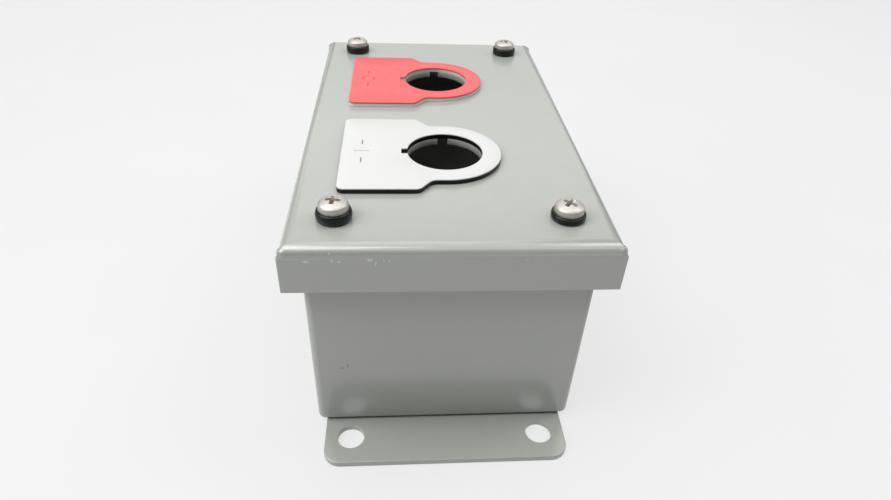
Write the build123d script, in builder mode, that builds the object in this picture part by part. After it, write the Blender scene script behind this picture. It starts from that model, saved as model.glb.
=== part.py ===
"""Push button station: a sheet-steel box with external feet, closed by a gasketed screw cover with two
keyed 22.3 mm button holes and a legend plate round each hole. No button operators are fitted.

Frame, in millimetres: the feet stand on z = 0, +Z points out of the cover, +Y runs along the station
from its lower end to its upper end, and the origin is below the middle of the box.
"""

import os

from build123d import *

os.makedirs("parts", exist_ok=True)

# Sheet steel used for the box, the cover, the feet and the corner brackets
sheet = 1.9

# Box
body_width = 77.6
body_length = 139.8
body_corner_radius = 2.2
body_bottom_radius = 2.1
rim_height = 67.05

# Feet
foot_width = 72.6
foot_projection = 15.3
foot_hidden_length = 20.0
foot_thickness = 1.9
foot_corner_radius = 5.0
foot_edge_radius = 0.35
mounting_hole_radius = 3.97
mounting_spacing_x = 57.15
mounting_hole_inset = 9.0

# Cover
cover_length = 149.0
cover_side_width = 85.8
cover_end_width = 86.6
cover_top = 71.3
cover_depth = 13.7
cover_bend_radius = 3.3
end_skirt_edge_radius = 0.35
seam_gap = 0.35
seam_top = 67.6
flare_radius = 1.7
flare_side_inset = 1.4
flare_end_inset = 1.65
flare_drop = 2.5
notch_radius = 0.45
notch_height = 68.65

# Button holes in the cover
button_spacing = 56.4
button_hole_radius = 11.15
button_key_width = 3.2
button_key_reach = 12.95

# Legend plates
legend_thickness = 1.6
start_face_thickness = 0.3
stop_face_thickness = 0.6
legend_half_width = 21.7
legend_back = 30.6
legend_shoulder = 8.1
legend_neck = 4.4
legend_nose_radius = 16.8
legend_corner_radius = 2.0
legend_shoulder_radius = 2.2
legend_neck_radius = 3.0
legend_hole_radius = 11.25
legend_key_width = 3.0
legend_key_reach = 12.95
mark_offset = 24.65
mark_height = 4.7
mark_stroke = 0.6
mark_dash_length = 3.2
mark_dash_offset = 5.6
stop_mark_depth = 0.3

# Gasket
gasket_gap = 0.05
gasket_outer_width = 79.2
gasket_outer_length = 142.0
gasket_band = 4.2
gasket_corner_radius = 4.0

# Cover screws, their seals and the brackets that they screw into
screw_x = 30.15
screw_y = 61.4
screw_shank_radius = 2.08
screw_length = 12.7
screw_tip_chamfer = 0.5
screw_head_radius = 3.9
screw_head_rim = 1.3
screw_head_height = 2.75
recess_width = 0.95
recess_span = 4.3
recess_depth = 1.5
recess_taper = 12
cover_hole_radius = 2.4
seal_radius = 4.55
seal_bore_radius = 2.3
seal_edge_radius = 0.45
retainer_radius = 4.0
retainer_bore_radius = 2.15
retainer_thickness = 0.8
retainer_bottom = 63.65
bracket_top = 63.4
bracket_leg_bottom = 51.0
bracket_length = 9.4
bracket_reach = 12.3
bracket_bend_radius = 1.9
collar_radius = 3.3
collar_depth = 1.3
thread_bore_radius = 2.13

# Bonding terminal on the floor of the box
terminal_x = -22.0
terminal_y = -56.0
stud_radius = 2.4
stud_height = 12.0
stud_flange_radius = 4.2
stud_flange_thickness = 0.8
lock_washer_radius = 4.7
lock_washer_thickness = 1.1
terminal_nut_width = 9.5
terminal_nut_thickness = 3.2

# Worked out from the sizes above
floor_top = foot_thickness + sheet
inner_half_width = body_width / 2 - sheet
cover_underside = cover_top - sheet
skirt_bottom = cover_top - cover_depth
mounting_hole_y = body_length / 2 + foot_projection - mounting_hole_inset
button_y = button_spacing / 2

# Corner name: side along X, side along Y, height of the squeezed seal, turn of the cross recess
corners = {
    "lower_left": (-1, -1, 2.8, 81),
    "lower_right": (1, -1, 1.8, 45),
    "upper_left": (-1, 1, 2.6, 40),
    "upper_right": (1, 1, 2.6, 18),
}


def save(builder, name):
    """Labels one finished piece and writes it under that name."""
    builder.part.label = name
    export_step(builder.part, f"parts/{name}.step")


# The box: one folded and seam-welded shell, open at the top
with BuildPart() as box_body:
    with BuildSketch(Plane.XY.offset(foot_thickness)):
        RectangleRounded(body_width, body_length, body_corner_radius)
    extrude(amount=rim_height - foot_thickness)
    fillet(box_body.faces().sort_by(Axis.Z)[0].edges(), body_bottom_radius)
    offset(amount=-sheet, openings=box_body.faces().sort_by(Axis.Z)[-1])
save(box_body, "box_body")


def mounting_foot(name, end):
    """A flat strap welded under one end of the box; end is -1 at the lower end and +1 at the upper."""
    foot_length = foot_projection + foot_hidden_length
    foot_middle = body_length / 2 + foot_projection - foot_length / 2
    with BuildPart() as foot:
        with BuildSketch(Plane.XY) as outline:
            with Locations((0, end * foot_middle)):
                Rectangle(foot_width, foot_length)
            outer_corners = outline.vertices().sort_by(Axis.Y, reverse=end > 0)[:2]
            fillet(outer_corners, foot_corner_radius)
            with Locations((0, end * mounting_hole_y)):
                with GridLocations(mounting_spacing_x, 0, 2, 1):
                    Circle(mounting_hole_radius, mode=Mode.SUBTRACT)
        extrude(amount=foot_thickness)
        rim = foot.faces().sort_by(Axis.Z)[-1].outer_wire().edges()
        fillet(rim, foot_edge_radius)
    save(foot, name)


mounting_foot("lower_mounting_foot", -1)
mounting_foot("upper_mounting_foot", 1)


# The cover: a shallow pan whose end skirts are a little wider than its sides
with BuildPart() as cover:
    with BuildSketch(Plane.XY.offset(skirt_bottom)):
        Rectangle(cover_side_width, cover_length)
    extrude(amount=cover_depth)
    fillet(cover.faces().sort_by(Axis.Z)[-1].edges(), cover_bend_radius)
    offset(amount=-sheet, openings=cover.faces().sort_by(Axis.Z)[0])
    # End skirts
    with BuildSketch(Plane.XY.offset(skirt_bottom)):
        with GridLocations(0, cover_length - sheet, 1, 2):
            Rectangle(cover_end_width, sheet)
    extrude(amount=cover_depth - cover_bend_radius)
    outer_uprights = cover.edges().filter_by(Axis.Z).filter_by(
        lambda e: abs(e.center().X) > cover_end_width / 2 - end_skirt_edge_radius
        and abs(e.center().Y) > cover_length / 2 - end_skirt_edge_radius
    )
    fillet(outer_uprights, end_skirt_edge_radius)
    # Flared bend ends, the open seam between each side and end skirt, and the relief notch above it
    with Locations(Plane.XY.offset(cover_top - flare_drop)):
        with GridLocations(cover_side_width - 2 * flare_side_inset, cover_length - 2 * flare_end_inset, 2, 2):
            Sphere(flare_radius)
    with BuildSketch(Plane.XY.offset(skirt_bottom)):
        with GridLocations(cover_side_width, cover_length - 2 * sheet - seam_gap, 2, 2):
            Rectangle(2 * sheet + seam_gap, seam_gap)
    extrude(amount=seam_top - skirt_bottom, mode=Mode.SUBTRACT)
    with Locations(Plane.XY.offset(notch_height)):
        with GridLocations(cover_end_width, cover_length, 2, 2):
            Cylinder(notch_radius, 3 * sheet, rotation=(90, 0, 0), mode=Mode.SUBTRACT)
    # Button holes with their key slots at the upper side, and the screw holes
    with BuildSketch(Plane.XY.offset(cover_top)):
        with GridLocations(0, button_spacing, 1, 2):
            Circle(button_hole_radius)
            with Locations((0, button_key_reach / 2)):
                Rectangle(button_key_width, button_key_reach)
        with GridLocations(2 * screw_x, 2 * screw_y, 2, 2):
            Circle(cover_hole_radius)
    extrude(amount=-sheet, mode=Mode.SUBTRACT)
save(cover, "cover")


with BuildPart() as cover_gasket:
    with BuildSketch(Plane.XY.offset(rim_height + gasket_gap)):
        RectangleRounded(gasket_outer_width, gasket_outer_length, gasket_corner_radius)
        RectangleRounded(
            gasket_outer_width - 2 * gasket_band,
            gasket_outer_length - 2 * gasket_band,
            gasket_corner_radius / 2,
            mode=Mode.SUBTRACT,
        )
    extrude(amount=cover_underside - rim_height - gasket_gap)
save(cover_gasket, "cover_gasket")


def legend_outline(plane):
    """Sketch of a legend plate: a wide lettering end that necks down to a round collar with a keyed hole."""
    with BuildSketch(plane) as outline:
        with BuildLine():
            FilletPolyline(
                (0, legend_nose_radius),
                (-legend_neck, legend_nose_radius),
                (-legend_shoulder, legend_half_width),
                (-legend_back, legend_half_width),
                (-legend_back, -legend_half_width),
                (-legend_shoulder, -legend_half_width),
                (-legend_neck, -legend_nose_radius),
                (0, -legend_nose_radius),
                radius=[
                    legend_neck_radius,
                    legend_shoulder_radius,
                    legend_corner_radius,
                    legend_corner_radius,
                    legend_shoulder_radius,
                    legend_neck_radius,
                ],
            )
            ThreePointArc((0, -legend_nose_radius), (legend_nose_radius, 0), (0, legend_nose_radius))
        make_face()
        Circle(legend_hole_radius, mode=Mode.SUBTRACT)
        with Locations((-legend_key_reach / 2, 0)):
            Rectangle(legend_key_reach, legend_key_width, mode=Mode.SUBTRACT)
    return outline.sketch


def dashes(plane):
    """Sketch of the short dash on each side of an engraved mark."""
    with BuildSketch(plane) as pair:
        with Locations((-mark_offset, 0)):
            with GridLocations(0, 2 * mark_dash_offset, 1, 2):
                SlotOverall(mark_dash_length, mark_stroke, rotation=90)
    return pair.sketch


def legend_plate(prefix, centre_y, face_thickness, round_mark):
    """A two-ply plate round one button hole: a coloured face on a contrasting core, with an engraved mark."""
    core_plane = Plane((0, centre_y, cover_top))
    face_plane = core_plane.offset(legend_thickness - face_thickness)
    top_plane = core_plane.offset(legend_thickness)
    with BuildPart() as core:
        add(legend_outline(core_plane))
        extrude(amount=legend_thickness - face_thickness)
    save(core, f"{prefix}_legend_core")
    with BuildPart() as face:
        add(legend_outline(face_plane))
        extrude(amount=face_thickness)
        with BuildSketch(top_plane):
            with Locations((-mark_offset, 0)):
                if round_mark:
                    Circle(mark_height / 2)
                    Circle(mark_height / 2 - mark_stroke, mode=Mode.SUBTRACT)
                else:
                    SlotOverall(mark_height, mark_stroke)
        add(dashes(top_plane))
        extrude(amount=-(stop_mark_depth if round_mark else face_thickness), mode=Mode.SUBTRACT)
    save(face, f"{prefix}_legend_face")


legend_plate("start", -button_y, start_face_thickness, round_mark=False)
legend_plate("stop", button_y, stop_face_thickness, round_mark=True)


def ring(name, centre, bottom, height, outer_radius, bore_radius, edge_radius=0.0):
    """A flat ring round a vertical axis, with its outer rims rounded where an edge radius is given."""
    with BuildPart() as washer:
        with BuildSketch(Plane((*centre, bottom))):
            Circle(outer_radius)
            Circle(bore_radius, mode=Mode.SUBTRACT)
        extrude(amount=height)
        if edge_radius:
            rims = washer.edges().filter_by(GeomType.CIRCLE)
            fillet(rims.filter_by(lambda e: e.radius > (outer_radius + bore_radius) / 2), edge_radius)
    save(washer, name)


def cover_screw(name, centre, head_underside, turn):
    """A pan head screw with a cross recess, head up."""
    dome_height = screw_head_height - screw_head_rim
    head_top = head_underside + screw_head_height
    with BuildPart() as screw:
        with BuildSketch(Plane((*centre, head_underside), x_dir=(1, 0, 0), z_dir=(0, -1, 0))):
            with BuildLine():
                Polyline(
                    (0, screw_head_height),
                    (0, -screw_length),
                    (screw_shank_radius - screw_tip_chamfer, -screw_length),
                    (screw_shank_radius, screw_tip_chamfer - screw_length),
                    (screw_shank_radius, 0),
                    (screw_head_radius, 0),
                    (screw_head_radius, screw_head_rim),
                )
                EllipticalCenterArc((0, screw_head_rim), screw_head_radius, dome_height, arc_size=90)
            make_face()
        revolve(axis=Axis((*centre, 0), (0, 0, 1)))
        with BuildSketch(Plane((*centre, head_top)).rotated((0, 0, turn))):
            Rectangle(recess_span, recess_width)
            Rectangle(recess_width, recess_span)
        extrude(amount=-recess_depth, taper=recess_taper, mode=Mode.SUBTRACT)
    save(screw, name)


def corner_bracket(name, side_x, side_y):
    """An angle welded inside one corner of the box, whose tab has an extruded and tapped hole."""
    tab_bottom = bracket_top - sheet
    tab_middle = inner_half_width - bracket_reach / 2
    with BuildPart() as bracket:
        with BuildSketch(Plane.XY.offset(tab_bottom)):
            with Locations((side_x * tab_middle, side_y * screw_y)):
                Rectangle(bracket_reach, bracket_length)
        extrude(amount=sheet)
        with BuildSketch(Plane.XY.offset(bracket_leg_bottom)):
            with Locations((side_x * (inner_half_width - sheet / 2), side_y * screw_y)):
                Rectangle(sheet, bracket_length)
        extrude(amount=tab_bottom - bracket_leg_bottom)
        long_edges = bracket.edges().filter_by(Axis.Y).group_by(Axis.Z)[-1]
        fillet(long_edges.sort_by(Axis.X, reverse=side_x > 0)[0], bracket_bend_radius)
        with BuildSketch(Plane.XY.offset(tab_bottom)):
            with Locations((side_x * screw_x, side_y * screw_y)):
                Circle(collar_radius)
        extrude(amount=-collar_depth)
        with BuildSketch(Plane.XY.offset(bracket_top)):
            with Locations((side_x * screw_x, side_y * screw_y)):
                Circle(thread_bore_radius)
        extrude(amount=-(sheet + collar_depth), mode=Mode.SUBTRACT)
    save(bracket, name)


for corner, (side_x, side_y, seal_height, turn) in corners.items():
    centre = (side_x * screw_x, side_y * screw_y)
    corner_bracket(f"corner_bracket_{corner}", side_x, side_y)
    ring(
        f"sealing_washer_{corner}",
        centre,
        cover_top,
        seal_height,
        seal_radius,
        seal_bore_radius,
        seal_edge_radius,
    )
    ring(
        f"retaining_washer_{corner}",
        centre,
        retainer_bottom,
        retainer_thickness,
        retainer_radius,
        retainer_bore_radius,
    )
    cover_screw(f"cover_screw_{corner}", centre, cover_top + seal_height, turn)


# Bonding terminal: a flanged weld stud with a lock washer and a nut
terminal = (terminal_x, terminal_y)
washer_bottom = floor_top + stud_flange_thickness
with BuildPart() as bonding_stud:
    with BuildSketch(Plane((*terminal, floor_top))):
        Circle(stud_flange_radius)
    extrude(amount=stud_flange_thickness)
    with BuildSketch(Plane((*terminal, washer_bottom))):
        Circle(stud_radius)
    extrude(amount=stud_height - stud_flange_thickness)
    chamfer(bonding_stud.faces().sort_by(Axis.Z)[-1].edges(), screw_tip_chamfer)
save(bonding_stud, "bonding_stud")

ring(
    "bonding_lock_washer",
    terminal,
    washer_bottom,
    lock_washer_thickness,
    lock_washer_radius,
    stud_radius,
)

with BuildPart() as bonding_nut:
    with BuildSketch(Plane((*terminal, washer_bottom + lock_washer_thickness))):
        RegularPolygon(terminal_nut_width / 2, 6, major_radius=False)
        Circle(stud_radius, mode=Mode.SUBTRACT)
    extrude(amount=terminal_nut_thickness)
save(bonding_nut, "bonding_nut")
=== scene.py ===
"""Looks of the push button station: a grey steel box with a gasketed cover, four captive screws on rubber
seals, and a white and a red legend plate round two empty button holes. Lengths are in metres, in the frame
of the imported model. Names ending in _mm, the sizes of the redrawn pieces, and the places of chips and
scratches are in millimetres, and are turned into metres where they are used.
"""

import math

import bmesh
import bpy
from mathutils import Matrix, Vector


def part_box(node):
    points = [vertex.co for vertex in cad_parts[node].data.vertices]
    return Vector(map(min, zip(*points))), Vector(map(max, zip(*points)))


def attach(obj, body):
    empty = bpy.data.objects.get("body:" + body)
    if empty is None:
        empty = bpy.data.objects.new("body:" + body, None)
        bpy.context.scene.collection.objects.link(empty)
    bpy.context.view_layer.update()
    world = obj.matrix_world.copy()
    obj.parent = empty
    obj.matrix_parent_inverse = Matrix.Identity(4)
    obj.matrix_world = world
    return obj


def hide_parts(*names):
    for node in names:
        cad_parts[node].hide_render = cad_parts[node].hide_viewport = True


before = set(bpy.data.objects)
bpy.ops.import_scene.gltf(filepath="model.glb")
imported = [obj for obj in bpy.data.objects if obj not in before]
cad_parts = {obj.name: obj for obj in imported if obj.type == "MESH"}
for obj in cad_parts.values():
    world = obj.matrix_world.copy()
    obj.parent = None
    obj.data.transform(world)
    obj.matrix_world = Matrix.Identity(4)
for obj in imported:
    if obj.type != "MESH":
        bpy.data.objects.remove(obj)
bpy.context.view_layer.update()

MM = 0.001
TURN = 2 * math.pi

# The camera's place, its turns in degrees and its lens, solved from the photograph's perspective
camera_place_mm = (-13.623, -194.014, 160.194)
camera_heading = 5.255
camera_tilt = -36.716
camera_roll = 2.794
lens_mm = 25.152
sensor_mm = 36.0
nearest_seen_mm = 10

CORNERS = ("lower_left", "lower_right", "upper_left", "upper_right")

# Nearly every value of a noise lies between these two
NOISE_LOW = 0.3
NOISE_HIGH = 0.7


# ---------------------------------------------------------------- materials


class Finish:
    """One procedural material, with short calls for the nodes that it is made of."""

    def __init__(self, name):
        self.material = bpy.data.materials.new(name)
        self.material.use_nodes = True
        self.nodes = self.material.node_tree.nodes
        self.links = self.material.node_tree.links
        self.shader = self.nodes["Principled BSDF"]
        self.place = self.nodes.new("ShaderNodeTexCoord").outputs["Object"]

    def put(self, socket, value):
        """Links an output to a socket, or sets the socket's own value."""
        if isinstance(value, bpy.types.NodeSocket):
            self.links.new(value, socket)
        else:
            socket.default_value = value

    def noise(self, size_mm, detail, roughness=0.5, place=None):
        """Soft noise whose blotches are about size_mm across."""
        node = self.nodes.new("ShaderNodeTexNoise")
        self.put(node.inputs["Vector"], place or self.place)
        node.inputs["Scale"].default_value = 1 / (size_mm * MM)
        node.inputs["Detail"].default_value = detail
        node.inputs["Roughness"].default_value = roughness
        return node.outputs["Fac"]

    def blotches(self, size_mm, detail, out_low=0.0, out_high=1.0):
        """Noise whose blotches are about size_mm across, stretched to fill out_low..out_high."""
        return self.span(self.noise(size_mm, detail), NOISE_LOW, NOISE_HIGH, out_low, out_high)

    def cells(self, size_mm):
        """Distance to the nearest of scattered points about size_mm apart."""
        node = self.nodes.new("ShaderNodeTexVoronoi")
        self.put(node.inputs["Vector"], self.place)
        node.inputs["Scale"].default_value = 1 / (size_mm * MM)
        return node.outputs["Distance"]

    def stretched(self, scale, turn_deg):
        """The surface's place, turned and squeezed along some axes, for streaks."""
        node = self.nodes.new("ShaderNodeMapping")
        self.put(node.inputs["Vector"], self.place)
        node.inputs["Scale"].default_value = scale
        node.inputs["Rotation"].default_value = [math.radians(a) for a in turn_deg]
        return node.outputs["Vector"]

    def height(self):
        """The surface's height over the object's own origin, in metres."""
        node = self.nodes.new("ShaderNodeSeparateXYZ")
        self.put(node.inputs[0], self.place)
        return node.outputs["Z"]

    def length(self, vector):
        """How long a vector is."""
        node = self.nodes.new("ShaderNodeVectorMath")
        node.operation = "LENGTH"
        self.put(node.inputs[0], vector)
        return node.outputs["Value"]

    def from_axis(self):
        """Distance from the object's own Z axis, in metres."""
        flat = self.nodes.new("ShaderNodeVectorMath")
        flat.operation = "MULTIPLY"
        self.put(flat.inputs[0], self.place)
        flat.inputs[1].default_value = (1, 1, 0)
        return self.length(flat.outputs["Vector"])

    def maths(self, operation, first, second):
        """One step of arithmetic."""
        node = self.nodes.new("ShaderNodeMath")
        node.operation = operation
        self.put(node.inputs[0], first)
        self.put(node.inputs[1], second)
        return node.outputs[0]

    def span(self, value, low, high, out_low=0.0, out_high=1.0):
        """Smoothly takes low..high to out_low..out_high, and holds the ends."""
        node = self.nodes.new("ShaderNodeMapRange")
        node.interpolation_type = "SMOOTHSTEP"
        for socket, number in zip(node.inputs, (value, low, high, out_low, out_high)):
            self.put(socket, number)
        return node.outputs["Result"]

    def mix(self, share, first, second):
        """A colour between two colours."""
        node = self.nodes.new("ShaderNodeMix")
        node.data_type = "RGBA"
        self.put(node.inputs["Factor"], share)
        self.put(node.inputs["A"], first)
        self.put(node.inputs["B"], second)
        return node.outputs["Result"]

    def tint(self, base, where, share, colour):
        """The base with a share of another colour mixed in where a mask is 1."""
        return self.mix(self.maths("MULTIPLY", where, share), base, colour)

    def bump(self, height, depth_mm, below=None):
        """Relief of about depth_mm where height goes from 0 to 1, on top of the relief below."""
        node = self.nodes.new("ShaderNodeBump")
        node.inputs["Distance"].default_value = depth_mm * MM
        self.put(node.inputs["Height"], height)
        if below is not None:
            self.put(node.inputs["Normal"], below)
        return node.outputs["Normal"]

    def mark(self, centre_mm, half_size_mm, turn_deg):
        """A share that is 1 inside a small ragged ellipsoid and 0 outside it."""
        ragged = 0.5
        inner, outer = 0.7, 1.2
        mapping = self.nodes.new("ShaderNodeMapping")
        mapping.vector_type = "TEXTURE"
        self.put(mapping.inputs["Vector"], self.place)
        mapping.inputs["Location"].default_value = [c * MM for c in centre_mm]
        mapping.inputs["Rotation"].default_value = [math.radians(a) for a in turn_deg]
        mapping.inputs["Scale"].default_value = [h * MM for h in half_size_mm]
        noise = self.noise(size_mm=min(half_size_mm[0], half_size_mm[2]), detail=3.0)
        rough = self.maths("MULTIPLY", noise, ragged)
        edge = self.maths("ADD", self.length(mapping.outputs["Vector"]), rough)
        return self.span(edge, inner, outer, 1.0, 0.0)

    def most(self, shares):
        """The largest of several shares."""
        largest = shares[0]
        for share in shares[1:]:
            largest = self.maths("MAXIMUM", largest, share)
        return largest

    def done(self, **inputs):
        """Fills the shader's inputs, with _ for spaces in their names, and gives the material."""
        for name, value in inputs.items():
            self.put(self.shader.inputs[name.replace("_", " ")], value)
        return self.material


def tone(colour, share):
    """A colour made darker or lighter, as a node's value."""
    return (*(min(1.0, c * share) for c in colour), 1.0)


def painted_steel(name, colour, chips=(), scratches=()):
    """Semi-gloss powder coat with faint mottling and orange peel, and with pale chips and dark
    scratches where they are given."""
    f = Finish(name)
    roughness = 0.21
    cloud = f.blotches(size_mm=45, detail=3.0)
    mottle = f.blotches(size_mm=2.6, detail=3.0)
    grain = f.blotches(size_mm=0.35, detail=2.0)
    base = f.mix(cloud, tone(colour, 0.985), tone(colour, 1.015))
    base = f.tint(base, mottle, share=0.5, colour=tone(colour, 0.975))
    base = f.tint(base, grain, share=0.35, colour=tone(colour, 1.03))
    gloss = f.span(f.noise(size_mm=6, detail=3.0), 0.25, 0.75, roughness - 0.03, roughness + 0.04)
    relief = f.bump(f.noise(size_mm=1.8, detail=1.0), depth_mm=0.0035)
    relief = f.bump(f.noise(size_mm=0.35, detail=1.0), depth_mm=0.0006, below=relief)
    if chips:
        chipped = f.most([f.mark(*chip) for chip in chips])
        base = f.tint(base, chipped, share=0.6, colour=tone(colour, 1.75))
        gloss = f.maths("ADD", gloss, f.maths("MULTIPLY", chipped, 0.25))
        relief = f.bump(f.maths("SUBTRACT", 1.0, chipped), depth_mm=0.06, below=relief)
    if scratches:
        scored = f.most([f.mark(*scratch) for scratch in scratches])
        base = f.tint(base, scored, share=0.7, colour=tone(colour, 0.35))
        relief = f.bump(f.maths("SUBTRACT", 1.0, scored), depth_mm=0.08, below=relief)
    return f.done(Base_Color=base, Roughness=gloss, Normal=relief, IOR=1.88)


def laminate(name, colour, roughness=0.42, ior=1.5):
    """The face or core of an engraved plastic plate: satin, with a faint rolled texture and fine rubs."""
    f = Finish(name)
    streaks = f.stretched(scale=(1, 0.08, 1), turn_deg=(0, 0, 24))
    rubs = f.span(f.noise(size_mm=1.2, detail=4.0, roughness=0.6, place=streaks), 0.56, 0.72)
    base = f.mix(f.blotches(size_mm=18, detail=3.0), tone(colour, 0.99), tone(colour, 1.0))
    base = f.tint(base, rubs, share=0.3, colour=tone(colour, 0.965))
    gloss = f.blotches(size_mm=3, detail=3.0, out_low=roughness - 0.04, out_high=roughness + 0.06)
    relief = f.bump(f.noise(size_mm=0.22, detail=2.0), depth_mm=0.004)
    relief = f.bump(rubs, depth_mm=0.0015, below=relief)
    return f.done(Base_Color=base, Roughness=gloss, Normal=relief, IOR=ior)


def plated_metal(name, colour, stain, roughness=0.4, recess_top_mm=None):
    """Nickel or zinc plate, lightly scuffed, with tarnish in patches. A height for the top of a
    driver recess fills what lies under it, near the axis, with painted shade: a darker, brownish,
    duller colour."""
    f = Finish(name)
    patches = f.span(f.noise(size_mm=1.4, detail=4.0, roughness=0.6), 0.42, 0.75)
    specks = f.span(f.noise(size_mm=0.25, detail=3.0), 0.6, 0.72)
    base = f.mix(f.maths("MULTIPLY", patches, 0.5), tone(colour, 1.0), tone(stain, 1.3))
    base = f.tint(base, specks, share=0.25, colour=tone(stain, 0.7))
    gloss = f.span(f.noise(size_mm=0.5, detail=3.0), 0.3, 0.75, roughness - 0.06, roughness + 0.12)
    if recess_top_mm:
        fade_mm, clear_mm, edge_mm = 0.9, 0.1, 0.1
        reach_mm = recess_arm + clear_mm
        below = f.span(f.height(), (recess_top_mm - fade_mm) * MM, recess_top_mm * MM, 1.0, 0.0)
        inside = f.span(f.from_axis(), reach_mm * MM, (reach_mm + edge_mm) * MM, 1.0, 0.0)
        # Painted shade in the driver recess: darker, brownish and duller below its top, near the axis
        recess_shade = f.maths("MULTIPLY", below, inside)
        base = f.mix(recess_shade, base, tone(stain, 0.9))
        gloss = f.maths("ADD", gloss, f.maths("MULTIPLY", recess_shade, 0.2))
    relief = f.bump(f.noise(size_mm=0.9, detail=3.0), depth_mm=0.03)
    relief = f.bump(f.noise(size_mm=0.15, detail=2.0), depth_mm=0.002, below=relief)
    return f.done(Base_Color=base, Metallic=1.0, Roughness=gloss, Normal=relief)


def rubber(name, colour, roughness):
    """Moulded rubber: nearly black, slightly blotchy, with a little dust."""
    f = Finish(name)
    dust_colour = (0.25, 0.24, 0.22, 1.0)
    dust = f.span(f.noise(size_mm=0.6, detail=4.0, roughness=0.65), 0.56, 0.78)
    base = f.mix(f.blotches(size_mm=4, detail=2.0), tone(colour, 0.85), tone(colour, 1.15))
    base = f.tint(base, dust, share=0.04, colour=dust_colour)
    gloss = f.blotches(size_mm=1.0, detail=3.0, out_low=roughness - 0.05, out_high=roughness + 0.08)
    relief = f.bump(f.noise(size_mm=0.8, detail=2.0), depth_mm=0.002)
    return f.done(Base_Color=base, Roughness=gloss, IOR=1.38, Normal=relief)


def foam_rubber(name, colour):
    """Closed-cell sponge strip: matt, pitted by small open cells."""
    f = Finish(name)
    cells = f.span(f.cells(size_mm=0.7), 0.1, 0.6)
    base = f.mix(cells, tone(colour, 0.55), tone(colour, 1.2))
    return f.done(Base_Color=base, Roughness=0.85, Normal=f.bump(cells, depth_mm=0.12))


def nylon(name, colour):
    """Natural nylon: waxy, faintly cloudy."""
    f = Finish(name)
    base = f.mix(f.blotches(size_mm=3, detail=3.0), tone(colour, 0.93), tone(colour, 1.03))
    gloss = f.blotches(size_mm=1, detail=2.0, out_low=0.38, out_high=0.5)
    relief = f.bump(f.noise(size_mm=0.5, detail=2.0), depth_mm=0.004)
    return f.done(Base_Color=base, Roughness=gloss, Normal=relief)


# ---------------------------------------------------------------- meshes


def piece(name, bm, material, body, nodes, place_mm=(0, 0, 0), smooth_deg=40):
    """Makes an object of a mesh built in millimetres, hides the CAD nodes that it takes the place
    of, and parents it to the empty of its body.
    """
    same_point_mm = 1e-4
    bmesh.ops.remove_doubles(bm, verts=bm.verts, dist=same_point_mm)
    bmesh.ops.recalc_face_normals(bm, faces=bm.faces)
    bmesh.ops.scale(bm, vec=(MM, MM, MM), verts=bm.verts)
    for face in bm.faces:
        face.smooth = True
    for edge in bm.edges:
        if edge.is_manifold and edge.calc_face_angle() > math.radians(smooth_deg):
            edge.smooth = False
    mesh = bpy.data.meshes.new(name)
    bm.to_mesh(mesh)
    bm.free()
    thing = bpy.data.objects.new(name, mesh)
    bpy.context.scene.collection.objects.link(thing)
    thing.location = [c * MM for c in place_mm]
    mesh.materials.append(material)
    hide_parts(*nodes)
    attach(thing, body)


def ring_of_points(radii, angles, height):
    """One closed ring of points; radii is a number or one number for each angle."""
    if isinstance(radii, (int, float)):
        radii = [radii] * len(angles)
    return [Vector((r * math.cos(a), r * math.sin(a), height)) for r, a in zip(radii, angles)]


def skin(bm, rings, closed=False):
    """Joins closed rings of equally many points by quads, and the last ring to the first if closed."""
    rows = [[bm.verts.new(p) for p in ring] for ring in rings]
    pairs = list(zip(rows, rows[1:] + rows[:1] if closed else rows[1:]))
    for low, high in pairs:
        for k in range(len(low)):
            n = (k + 1) % len(low)
            bm.faces.new((low[k], low[n], high[n], high[k]))
    return rows


def cap(bm, row, centre):
    """Closes a ring of vertices with a fan to one point."""
    tip = bm.verts.new(centre)
    for k in range(len(row)):
        bm.faces.new((row[k], row[(k + 1) % len(row)], tip))


def even_angles(count):
    """Equally spaced angles all the way round, in radians."""
    return [TURN * k / count for k in range(count)]


def thread(bm, angles, top, length, major, root, pitch, start_radius, end_radius):
    """A right-hand 60 degree thread from top downwards that runs out smoothly at both ends; gives
    its last row of vertices. Crest, flank and root widths are shares of the pitch."""
    crest, flank, root_flat = 0.125, 0.3125, 0.25
    fade = 0.6 * pitch
    phases = ((0.0, major), (crest, major), (crest + flank, root), (crest + flank + root_flat, root))
    count = 4 * (math.ceil(length / pitch) + 2)
    grid = []
    for i in range(count + 1):
        phase, radius = phases[i % 4]
        row = []
        for a in angles:
            depth = min(max((i // 4 + phase) * pitch - pitch * a / TURN, 0.0), length)
            r = radius
            if depth < fade:
                r = start_radius + (radius - start_radius) * depth / fade
            if depth > length - fade:
                r = end_radius + (radius - end_radius) * (length - depth) / fade
            row.append(bm.verts.new((r * math.cos(a), r * math.sin(a), top - depth)))
        grid.append(row)
    for i in range(count):
        for k in range(len(angles)):
            if k + 1 < len(angles):
                low, high = grid[i][k + 1], grid[i + 1][k + 1]
            else:
                low, high = grid[max(i - 4, 0)][0], grid[max(i - 3, 0)][0]
            bm.faces.new(dict.fromkeys((grid[i][k], low, high, grid[i + 1][k])))
    return grid[count]


# ---------------------------------------------------------------- cover screws

head_radius = 3.9
head_rim = 1.3
head_height = 2.75
shank_radius = 2.08
shank_root = 1.66
screw_length = 12.7
screw_pitch = 25.4 / 32
thread_top = -4.9
recess_arm = 2.15
recess_half_width = 0.55
recess_notch = 0.2
recess_depth = 1.75
recess_lip = 0.07
recess_arm_taper = 1.15
recess_width_taper = 0.12
recess_point = 0.35
recess_levels = (1.0, 0.7, 0.4, 0.12)
head_levels = (0.12, 0.3, 0.5, 0.68, 0.82, 0.92, 0.975, 1.0)
head_edge = 0.14
tip_radius = 1.35
tip_gap = 0.02
thread_end_gap = 0.05
recess_turns = {"lower_left": 81, "lower_right": 45, "upper_left": 40, "upper_right": 18}


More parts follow.
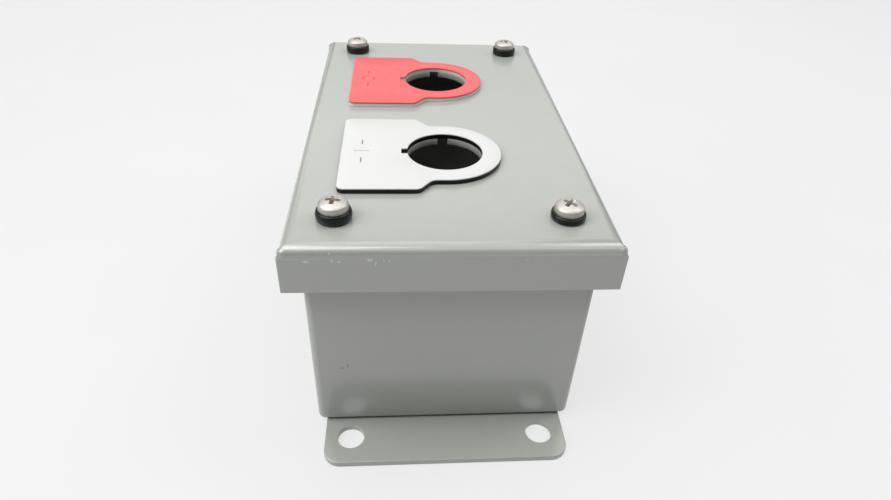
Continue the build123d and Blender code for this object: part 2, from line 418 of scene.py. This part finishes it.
def dome(r):
    """Height of the pan head's top above its underside, at a radius."""
    return head_rim + (head_height - head_rim) * math.sqrt(max(0.0, 1 - (r / head_radius) ** 2))


def cross_outline(arm, half_width, notch):
    """The outline of a cross recess as points in order round the centre, from the +X axis on."""
    arm_end = ((0.0, 0.0), (0.02, 0.5), (0.07, 0.85))
    eighth = [(arm - back, share * half_width) for back, share in arm_end]
    steps = 6
    for i in range(1, steps + 1):
        eighth.append((arm + (half_width + notch - arm) * i / steps, half_width))
    middle = half_width + 0.3 * notch
    quarter = eighth + [(middle, middle)] + [(y, x) for x, y in reversed(eighth[1:])]
    outline = []
    for c, s in ((1, 0), (0, 1), (-1, 0), (0, -1)):
        outline += [(c * x - s * y, s * x + c * y) for x, y in quarter]
    return outline


def on_height(outline, height, grow=0.0):
    """An outline as a ring at a height, grown outwards from the centre; None follows the dome."""
    ring = []
    for x, y in outline:
        r = math.hypot(x, y)
        scale = (r + grow) / r
        z = dome(r + grow) if height is None else height
        ring.append(Vector((x * scale, y * scale, z)))
    return ring


def screw_rings():
    """Rings of a pan head screw from the bottom of its recess, out over the head and in to the shank."""
    top = cross_outline(recess_arm, recess_half_width, recess_notch)
    angles = [math.atan2(y, x) % TURN for x, y in top]
    rings = []
    for share in recess_levels:
        arm = recess_arm - recess_arm_taper * share
        width = recess_half_width - recess_width_taper * share
        level = cross_outline(arm, width, recess_notch)
        rings.append(on_height(level, head_height - recess_depth * share))
    rings.append([p - Vector((0, 0, recess_lip)) for p in on_height(top, None)])
    rings.append(on_height(top, None, recess_lip))
    start = [math.hypot(x, y) + recess_lip for x, y in top]
    for share in head_levels:
        radii = [r + (head_radius - r) * share for r in start]
        rings.append([Vector((r * math.cos(a), r * math.sin(a), dome(r))) for r, a in zip(radii, angles)])
    for radius, height in (
        (head_radius, head_edge),
        (head_radius - 0.3 * head_edge, 0.3 * head_edge),
        (head_radius - head_edge, 0.0),
        (shank_radius + head_edge, 0.0),
        (shank_radius, -head_edge),
        (shank_radius, thread_top),
    ):
        rings.append(ring_of_points(radius, angles, height))
    return rings, angles


def cover_screw(corner, steel):
    """A captive pan head screw with a cross recess and a rolled thread."""
    node = f"cover_screw_{corner}"
    low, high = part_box(node)
    underside = low.z / MM + screw_length
    centre = (low + high) / 2 / MM
    bm = bmesh.new()
    rings, angles = screw_rings()
    rows = skin(bm, rings)
    cap(bm, rows[0], (0, 0, head_height - recess_depth - recess_point))
    length = screw_length + thread_top - thread_end_gap
    end = thread(bm, angles, thread_top, length, shank_radius, shank_root, screw_pitch,
                 start_radius=shank_radius, end_radius=tip_radius)
    cap(bm, end, (0, 0, -screw_length + tip_gap))
    turn = Matrix.Rotation(math.radians(recess_turns[corner]), 3, "Z")
    bmesh.ops.rotate(bm, matrix=turn, verts=bm.verts)
    place = (centre.x, centre.y, underside)
    piece(f"pan_screw_{corner}", bm, steel, f"screw_{corner}", [node], place)


# ---------------------------------------------------------------- seals

seal_segments = 72
seal_bore_radius = 2.3
seal_bore_edge = 0.15
seal_bulge = {"lower_left": 0.16, "lower_right": 0.04, "upper_left": 0.02, "upper_right": 0.02}


def seal(corner, black):
    """A squeezed rubber sealing washer, fattest at mid height."""
    node = f"sealing_washer_{corner}"
    low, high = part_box(node)
    height = (high.z - low.z) / MM
    radius = (high.x - low.x) / 2 / MM
    centre = (low + high) / 2 / MM
    bulge = seal_bulge[corner]
    outside = (
        (-0.34, 0.0), (-0.12, 0.06), (0.0, 0.22), (bulge * 0.7, 0.36), (bulge, 0.5),
        (bulge * 0.7, 0.66), (0.0, 0.8), (-0.12, 0.93), (-0.36, 1.0),
    )
    profile = [(radius + out, share * height) for out, share in outside]
    profile += [
        (seal_bore_radius + seal_bore_edge, height), (seal_bore_radius, height - seal_bore_edge),
        (seal_bore_radius, seal_bore_edge), (seal_bore_radius + seal_bore_edge, 0.0),
    ]
    bm = bmesh.new()
    angles = even_angles(seal_segments)
    skin(bm, [ring_of_points(r, angles, z) for r, z in profile], closed=True)
    place = (centre.x, centre.y, low.z / MM)
    piece(f"rubber_seal_{corner}", bm, black, f"seal_{corner}", [node], place, smooth_deg=60)


# ---------------------------------------------------------------- legend plates

plate_back = 30.6
plate_half_width = 21.7
plate_shoulder = 8.1
plate_neck = 4.4
plate_nose = 16.8
plate_back_radius = 2.0
plate_shoulder_radius = 2.2
plate_neck_radius = 3.0
plate_hole_radius = 11.25
plate_key_width = 3.0
plate_key_reach = 12.95
plate_edge = 0.09
plate_core_edge = 0.06
plate_smooth_deg = 30
nose_steps = 64
hole_steps = 96
stroke_steps = 10
ring_steps = 64
mark_offset = 24.65
mark_height = 4.7
mark_stroke = 0.52
mark_stroke_bottom = 0.16
dash_length = 3.2
dash_offset = 5.6
stop_mark_depth = 0.3


def arc(centre, radius, start, end, steps):
    """Points along an arc, its angles in radians, both ends included."""
    angles = [start + (end - start) / steps * i for i in range(steps + 1)]
    return [(centre[0] + radius * math.cos(a), centre[1] + radius * math.sin(a)) for a in angles]


def rounded(corners):
    """A path through corners (x, y, radius), each rounded by an arc; radius 0 keeps the corner sharp."""
    steps = 8
    path = []
    for i, (x, y, radius) in enumerate(corners):
        here = Vector((x, y))
        if radius == 0:
            path.append((x, y))
            continue
        before = (Vector(corners[i - 1][:2]) - here).normalized()
        after = (Vector(corners[(i + 1) % len(corners)][:2]) - here).normalized()
        half = before.angle(after) / 2
        middle = here + (before + after).normalized() * (radius / math.sin(half))
        start = here + before * (radius / math.tan(half))
        end = here + after * (radius / math.tan(half))
        first, last = (start - middle), (end - middle)
        begin = math.atan2(first.y, first.x)
        turn = first.angle_signed(last)
        path += arc(middle, radius, begin, begin - turn, steps)
    return path


def plate_outline():
    """The plate's outer edge, counterclockwise: straight lettering end, necked shoulders and round nose."""
    corners = [
        (0, plate_nose, 0),
        (-plate_neck, plate_nose, plate_neck_radius),
        (-plate_shoulder, plate_half_width, plate_shoulder_radius),
        (-plate_back, plate_half_width, plate_back_radius),
        (-plate_back, -plate_half_width, plate_back_radius),
        (-plate_shoulder, -plate_half_width, plate_shoulder_radius),
        (-plate_neck, -plate_nose, plate_neck_radius),
        (0, -plate_nose, 0),
    ]
    nose = arc((0, 0), plate_nose, -math.pi / 2, math.pi / 2, nose_steps)
    return rounded(corners) + nose[1:-1]


def keyed_hole():
    """The hole in the plate, counterclockwise, with its key slot at the lettering side."""
    half = plate_key_width / 2
    meet = math.asin(half / plate_hole_radius)
    around = arc((0, 0), plate_hole_radius, math.pi + meet, 3 * math.pi - meet, hole_steps)
    return around + [(-plate_key_reach, half), (-plate_key_reach, -half)]


def slot_outline(length, width, centre, along_x):
    """A straight engraved stroke with round ends, counterclockwise."""
    half = length / 2 - width / 2
    points = arc((half, 0), width / 2, -math.pi / 2, math.pi / 2, stroke_steps)
    points += arc((-half, 0), width / 2, math.pi / 2, 3 * math.pi / 2, stroke_steps)
    if not along_x:
        points = [(-y, x) for x, y in points]
    return [(centre[0] + x, centre[1] + y) for x, y in points]


def inset(points, distance):
    """A counterclockwise outline moved inwards by a distance, or outwards if it is negative."""
    sharpest = 0.3
    moved = []
    count = len(points)
    for i in range(count):
        here = Vector(points[i])
        back = (here - Vector(points[i - 1])).normalized()
        on = (Vector(points[(i + 1) % count]) - here).normalized()
        left_back, left_on = Vector((-back.y, back.x)), Vector((-on.y, on.x))
        joint = (left_back + left_on).normalized()
        moved.append(here + joint * (distance / max(sharpest, joint.dot(left_on))))
    return [(p.x, p.y) for p in moved]


def wall(bm, loops):
    """Joins stacked loops, each a list of (x, y) and a height, and gives the first and last rows."""
    rows = skin(bm, [[Vector((x, y, z)) for x, y in points] for points, z in loops])
    return rows[0], rows[-1]


def fill(bm, rows):
    """A flat face between closed rows of vertices at one height, holes left open."""
    edges = []
    for row in rows:
        for k in range(len(row)):
            edges.append(bm.edges.get((row[k], row[(k + 1) % len(row)])))
    bmesh.ops.triangle_fill(bm, use_beauty=True, use_dissolve=False, edges=edges)


def softened(outline, low, high, low_edge, high_edge, inward=1):
    """Loops up a wall whose bottom and top edges are eased by small chamfers."""
    first = 0.3 * high_edge
    eased = [(outline, low)]
    if low_edge:
        eased = [(inset(outline, inward * low_edge), low), (outline, low + low_edge)]
    if not high_edge:
        return eased + [(outline, high)]
    return eased + [
        (outline, high - high_edge),
        (inset(outline, inward * first), high - first),
        (inset(outline, inward * high_edge), high),
    ]


def plate_core(prefix, material):
    """The core layer of a legend plate, whose sawn edge shows under the face."""
    node = f"{prefix}_legend_core"
    low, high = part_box(node)
    thick = (high.z - low.z) / MM
    bm = bmesh.new()
    outer = wall(bm, softened(plate_outline(), 0, thick, plate_core_edge, 0))
    hole = wall(bm, softened(keyed_hole(), 0, thick, plate_core_edge, 0, inward=-1))
    fill(bm, [outer[0], hole[0]])
    fill(bm, [outer[1], hole[1]])
    place = (0, (low.y + high.y) / 2 / MM, low.z / MM)
    piece(f"{prefix}_plate_core", bm, material, "cover", [node], place, plate_smooth_deg)


def stroke_walls(bm, outline, top, bottom, closed_bottom):
    """A tapered engraved groove; gives its row at the top and its row at the bottom."""
    narrowing = (mark_stroke - mark_stroke_bottom) / 2
    rows = wall(bm, [
        (outline, top),
        (inset(outline, 0.6 * narrowing), (top + bottom) / 2),
        (inset(outline, narrowing), bottom),
    ])
    if closed_bottom:
        fill(bm, [rows[1]])
    return rows


def ring_groove(bm, top, bottom):
    """A V-shaped engraved ring; gives its outer row and its inner row."""
    middle = (mark_height - mark_stroke) / 2

    def circle(radius):
        last = TURN * (ring_steps - 1) / ring_steps
        return arc((-mark_offset, 0), radius, 0, last, ring_steps - 1)

    return wall(bm, [
        (circle(middle + mark_stroke / 2), top),
        (circle(middle), bottom),
        (circle(middle - mark_stroke / 2), top),
    ])


def plate_face(prefix, material, round_mark):
    """The coloured face of a legend plate, with an engraved bar or ring between two dashes. The bar
    and its dashes go through to the core; the ring and its dashes stop in the face."""
    node = f"{prefix}_legend_face"
    low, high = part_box(node)
    thick = (high.z - low.z) / MM
    bottom = thick - stop_mark_depth if round_mark else 0.0
    bm = bmesh.new()
    outer = wall(bm, softened(plate_outline(), 0, thick, 0, plate_edge))
    hole = wall(bm, softened(keyed_hole(), 0, thick, 0, plate_edge, inward=-1))
    tops, bottoms = [outer[1], hole[1]], [outer[0], hole[0]]
    strokes = [
        slot_outline(dash_length, mark_stroke, (-mark_offset, side * dash_offset), False)
        for side in (-1, 1)
    ]
    if not round_mark:
        strokes.append(slot_outline(mark_height, mark_stroke, (-mark_offset, 0), True))
    for outline in strokes:
        rows = stroke_walls(bm, outline, thick, bottom, closed_bottom=round_mark)
        tops.append(rows[0])
        if not round_mark:
            bottoms.append(rows[1])
    if round_mark:
        rows = ring_groove(bm, thick, bottom)
        tops.append(rows[0])
        fill(bm, [rows[1]])
    fill(bm, tops)
    fill(bm, bottoms)
    place = (0, (low.y + high.y) / 2 / MM, low.z / MM)
    piece(f"{prefix}_plate_face", bm, material, "cover", [node], place, plate_smooth_deg)


# ---------------------------------------------------------------- bonding terminal

stud_radius = 2.4
stud_root = 1.95
stud_pitch = 0.8
stud_tip_radius = 1.85
stud_foot = 0.2
flange_edge = 0.15
terminal_segments = 48
nut_half_width = 4.75
nut_flat_share = 0.97
nut_chamfer_deg = 30
nut_clearance = 0.02
nut_bore_edge = 0.25
nut_segments = 72
washer_teeth = 12
washer_tooth_segments = 16
washer_tooth_length = 1.0
washer_gap_depth = 0.95
washer_clearance = 0.12
washer_tooth_share = 0.62
washer_twist = 0.24
washer_sheet = 0.55


def node_in_mm(node):
    """The middle of a node's underside, its radius along X and its height, in millimetres."""
    low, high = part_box(node)
    middle = (low + high) / 2 / MM
    return (middle.x, middle.y, low.z / MM), (high.x - low.x) / 2 / MM, (high.z - low.z) / MM


def terminal_stud(steel):
    """A weld flange with a threaded stud."""
    place, flange_radius, height = node_in_mm("bonding_stud")
    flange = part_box("bonding_lock_washer")[0].z / MM - place[2]
    angles = even_angles(terminal_segments)
    bm = bmesh.new()
    profile = (
        (flange_radius, 0), (flange_radius, flange - flange_edge), (flange_radius - flange_edge, flange),
        (stud_radius + stud_foot, flange), (stud_root, flange + stud_foot),
    )
    rows = skin(bm, [ring_of_points(r, angles, z) for r, z in profile])
    cap(bm, rows[0], (0, 0, 0))
    thread(bm, angles, height, height - flange - stud_foot, stud_radius, stud_root, stud_pitch,
           start_radius=stud_tip_radius, end_radius=stud_root)
    top = [bm.verts.new(p) for p in ring_of_points(stud_tip_radius, angles, height)]
    cap(bm, top, (0, 0, height))
    piece("terminal_stud", bm, steel, "enclosure", ["bonding_stud"], place)


def terminal_nut(steel):
    """A hexagon nut, chamfered at both faces and in its bore."""
    place, _, thick = node_in_mm("bonding_nut")
    angles = even_angles(nut_segments)
    sixth = math.pi / 3
    hexagon = [nut_half_width / math.cos((a + sixth / 2) % sixth - sixth / 2) for a in angles]
    flat = nut_half_width * nut_flat_share
    drops = [math.tan(math.radians(nut_chamfer_deg)) * (r - flat) for r in hexagon]
    corners = list(zip(hexagon, angles, drops))
    bore = stud_radius + nut_clearance
    bm = bmesh.new()
    skin(bm, [
        ring_of_points(bore, angles, nut_bore_edge),
        ring_of_points(bore + nut_bore_edge, angles, 0),
        ring_of_points(flat, angles, 0),
        [Vector((r * math.cos(a), r * math.sin(a), d)) for r, a, d in corners],
        [Vector((r * math.cos(a), r * math.sin(a), thick - d)) for r, a, d in corners],
        ring_of_points(flat, angles, thick),
        ring_of_points(bore + nut_bore_edge, angles, thick),
        ring_of_points(bore, angles, thick - nut_bore_edge),
    ], closed=True)
    piece("terminal_nut", bm, steel, "enclosure", ["bonding_nut"], place, smooth_deg=25)


def terminal_lock_washer(steel):
    """An external-tooth lock washer with twisted teeth."""
    node = "bonding_lock_washer"
    place, radius, thick = node_in_mm(node)
    angles = even_angles(washer_teeth * washer_tooth_segments)
    rim = radius - washer_tooth_length
    outer, twist = [], []
    for a in angles:
        share = (a * washer_teeth / TURN) % 1.0
        on_tooth = share < washer_tooth_share
        outer.append(radius if on_tooth else radius - washer_gap_depth)
        twist.append(washer_twist * (2 * share / washer_tooth_share - 1) if on_tooth else 0.0)
    half = washer_sheet / 2
    middle = thick / 2

    def teeth(side):
        return [Vector((r * math.cos(a), r * math.sin(a), middle + side * half + t))
                for r, a, t in zip(outer, angles, twist)]

    bore = stud_radius + washer_clearance
    bm = bmesh.new()
    skin(bm, [
        ring_of_points(bore, angles, middle - half),
        ring_of_points(rim, angles, middle - half),
        teeth(-1),
        teeth(1),
        ring_of_points(rim, angles, middle + half),
        ring_of_points(bore, angles, middle + half),
    ], closed=True)
    piece("terminal_lock_washer", bm, steel, "enclosure", [node], place, smooth_deg=30)


# ---------------------------------------------------------------- CAD parts that keep their meshes


def dress(node, material, edge_mm):
    """Gives a CAD node its material, and eases its sharp edges with modifiers."""
    same_point_mm = 0.001
    flat_deg, sharp_deg = 0.2, 35
    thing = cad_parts[node]
    for place in thing.material_slots:
        place.material = material
    weld = thing.modifiers.new("weld", "WELD")
    weld.merge_threshold = same_point_mm * MM
    flats = thing.modifiers.new("flats", "DECIMATE")
    flats.decimate_type = "DISSOLVE"
    flats.angle_limit = math.radians(flat_deg)
    ease = thing.modifiers.new("ease", "BEVEL")
    ease.width = edge_mm * MM
    ease.segments = 2
    ease.limit_method = "ANGLE"
    ease.angle_limit = math.radians(sharp_deg)
    ease.harden_normals = True


# ---------------------------------------------------------------- stage


light_target = Vector((0, 0, 0.05))
seen_tone = 0.70
unseen_tone = 0.02
floor_reach = 8.0
floor_blotch_mm = 60
floor_tones = (0.150, 0.156)
floor_roughness = 0.7
floor_glow = 0.655


def softbox(name, place, size, radiance):
    """A rectangular softbox of an even radiance that faces the object."""
    light = bpy.data.lights.new(name, "AREA")
    light.shape = "RECTANGLE"
    light.size, light.size_y = size
    light.energy = math.pi * size[0] * size[1] * radiance
    lamp = bpy.data.objects.new(name, light)
    bpy.context.scene.collection.objects.link(lamp)
    lamp.location = place
    lamp.rotation_euler = (light_target - Vector(place)).to_track_quat("-Z", "Y").to_euler()


def on_dome(elevation, heading):
    """A place one metre from the origin: its elevation, and its heading from +Y towards +X."""
    e, h = math.radians(elevation), math.radians(heading)
    return (math.cos(e) * math.sin(h), math.cos(e) * math.cos(h), math.sin(e))


def softboxes():
    """Boxes above both sides, behind and nearly overhead, with a small key and a small near light."""
    softbox("left", (-0.7, -0.06, 0.75), size=(0.5, 0.9), radiance=3.9)
    softbox("right", (0.7, 0.16, 0.75), size=(0.5, 0.9), radiance=2.8)
    softbox("above", (0.0, 0.5, 0.95), size=(0.8, 0.5), radiance=1.6)
    softbox("behind", (0.0, 1.0, 0.66), size=(1.4, 0.3), radiance=1.3)
    softbox("low_behind", (0.0, 1.1, 0.38), size=(1.4, 0.3), radiance=0.85)
    softbox("key", on_dome(67, -148), size=(0.22, 0.22), radiance=4.8)
    softbox("front", on_dome(82, -165), size=(1.5, 1.0), radiance=1.3)
    softbox("near_left", (-0.22, -0.18, 0.33), size=(0.17, 0.17), radiance=3.6)


def surround():
    """A world that the camera sees pale, but that hardly lights the object."""
    world = bpy.data.worlds.new("surround")
    bpy.context.scene.world = world
    world.use_nodes = True
    nodes, links = world.node_tree.nodes, world.node_tree.links
    seen = nodes["Background"]
    seen.inputs["Color"].default_value = tone((1, 1, 1), seen_tone)
    unseen = nodes.new("ShaderNodeBackground")
    unseen.inputs["Color"].default_value = tone((1, 1, 1), unseen_tone)
    path = nodes.new("ShaderNodeLightPath")
    either = nodes.new("ShaderNodeMixShader")
    links.new(path.outputs["Is Camera Ray"], either.inputs["Fac"])
    links.new(unseen.outputs["Background"], either.inputs[1])
    links.new(seen.outputs["Background"], either.inputs[2])
    links.new(either.outputs["Shader"], nodes["World Output"].inputs["Surface"])


def pale_floor():
    """A wide floor under the feet, whose own glow keeps the shadows on it pale."""
    bm = bmesh.new()
    corners = ((-1, -1), (1, -1), (1, 1), (-1, 1))
    bm.faces.new([bm.verts.new((x * floor_reach, y * floor_reach, 0)) for x, y in corners])
    mesh = bpy.data.meshes.new("floor")
    bm.to_mesh(mesh)
    bm.free()
    floor = bpy.data.objects.new("floor", mesh)
    bpy.context.scene.collection.objects.link(floor)
    f = Finish("pale_floor")
    darker, lighter = (tone((1, 1, 1), share) for share in floor_tones)
    shade = f.mix(f.blotches(size_mm=floor_blotch_mm, detail=3.0), darker, lighter)
    mesh.materials.append(f.done(Base_Color=shade, Roughness=floor_roughness,
                                 Emission_Color=tone((1, 1, 1), 1), Emission_Strength=floor_glow))


def camera():
    """The camera at the photograph's place: a heading from +Y, a tilt from level and a roll."""
    heading, tilt, roll = (math.radians(a) for a in (camera_heading, camera_tilt, camera_roll))
    ahead = Vector((math.sin(heading) * math.cos(tilt), math.cos(heading) * math.cos(tilt), math.sin(tilt)))
    level = Vector((math.cos(heading), -math.sin(heading), 0))
    above = level.cross(ahead)
    right = level * math.cos(roll) + above * math.sin(roll)
    up = above * math.cos(roll) - level * math.sin(roll)
    lens = bpy.data.cameras.new("camera")
    lens.sensor_width = sensor_mm
    lens.lens = lens_mm
    lens.clip_start = nearest_seen_mm * MM
    thing = bpy.data.objects.new("camera", lens)
    bpy.context.scene.collection.objects.link(thing)
    turn = Matrix((right, up, -ahead)).transposed().to_4x4()
    thing.matrix_world = Matrix.Translation(Vector(camera_place_mm) * MM) @ turn
    bpy.context.scene.camera = thing


# ---------------------------------------------------------------- the whole

grey = (0.342, 0.352, 0.331)

# The lower end's skirt, the bend above it and the box's wall, and how deep marks reach along Y
skirt_y = -74.5
bend_y = -74.2
wall_y = -69.9
chip_reach = 1.5
scratch_reach = 1.0

# Each chip: x, y and z of its middle, its half width, half height and slant in degrees
skirt_chips = [
    ((x, y, z), (half_width, chip_reach, half_height), (0, slant, 0))
    for x, y, z, half_width, half_height, slant in (
        (-36.4, skirt_y, 67.4, 1.2, 0.6, 0),
        (-30.0, skirt_y, 67.6, 0.5, 0.5, 0),
        (-28.3, skirt_y, 67.3, 0.7, 0.5, 0),
        (-30.5, bend_y, 69.6, 0.2, 0.5, 0),
        (-20.9, skirt_y, 67.8, 1.2, 0.6, 0),
        (-19.5, skirt_y, 66.7, 0.32, 1.1, 12),
        (-17.5, skirt_y, 67.6, 0.35, 0.5, 0),
        (-16.1, skirt_y, 67.4, 0.4, 0.45, 0),
        (17.8, skirt_y, 67.6, 0.4, 0.2, 0),
    )
]
wall_scratches = [
    ((-30.2, wall_y, 25.1), (0.5, scratch_reach, 0.35), (0, 0, 0)),
    ((-28.6, wall_y, 26.0), (0.22, scratch_reach, 1.3), (0, 14, 0)),
]

dress("cover", painted_steel("cover_paint", grey, chips=skirt_chips), edge_mm=0.22)
dress("box_body", painted_steel("box_paint", grey, scratches=wall_scratches), edge_mm=0.22)
foot_paint = painted_steel("foot_paint", grey)
for end in ("lower", "upper"):
    dress(f"{end}_mounting_foot", foot_paint, edge_mm=0.15)
dress("cover_gasket", foam_rubber("gasket_foam", (0.035, 0.035, 0.037)), edge_mm=0.3)

bracket_paint = painted_steel("bracket_paint", grey)
natural_nylon = nylon("natural_nylon", (0.80, 0.79, 0.74))
nickel = plated_metal("nickel_plate", (0.585, 0.572, 0.545), stain=(0.42, 0.37, 0.29),
                      roughness=0.55, recess_top_mm=2.2)
zinc = plated_metal("zinc_plate", (0.66, 0.67, 0.66), stain=(0.55, 0.50, 0.38))
seal_black = rubber("seal_rubber", (0.007, 0.008, 0.009), roughness=0.32)
for corner in CORNERS:
    dress(f"corner_bracket_{corner}", bracket_paint, edge_mm=0.15)
    dress(f"retaining_washer_{corner}", natural_nylon, edge_mm=0.1)
    cover_screw(corner, nickel)
    seal(corner, seal_black)

black_laminate = laminate("black_laminate", (0.006, 0.006, 0.006), roughness=0.4, ior=1.36)
plate_core("start", black_laminate)
plate_face("start", laminate("white_laminate", (0.60, 0.602, 0.595)), round_mark=False)
plate_core("stop", laminate("ivory_laminate", (0.74, 0.73, 0.67)))
plate_face("stop", laminate("red_laminate", (0.70, 0.108, 0.113)), round_mark=True)
terminal_stud(zinc)
terminal_lock_washer(zinc)
terminal_nut(zinc)

softboxes()
surround()
pale_floor()
camera()
bpy.context.scene.view_settings.view_transform = "Standard"
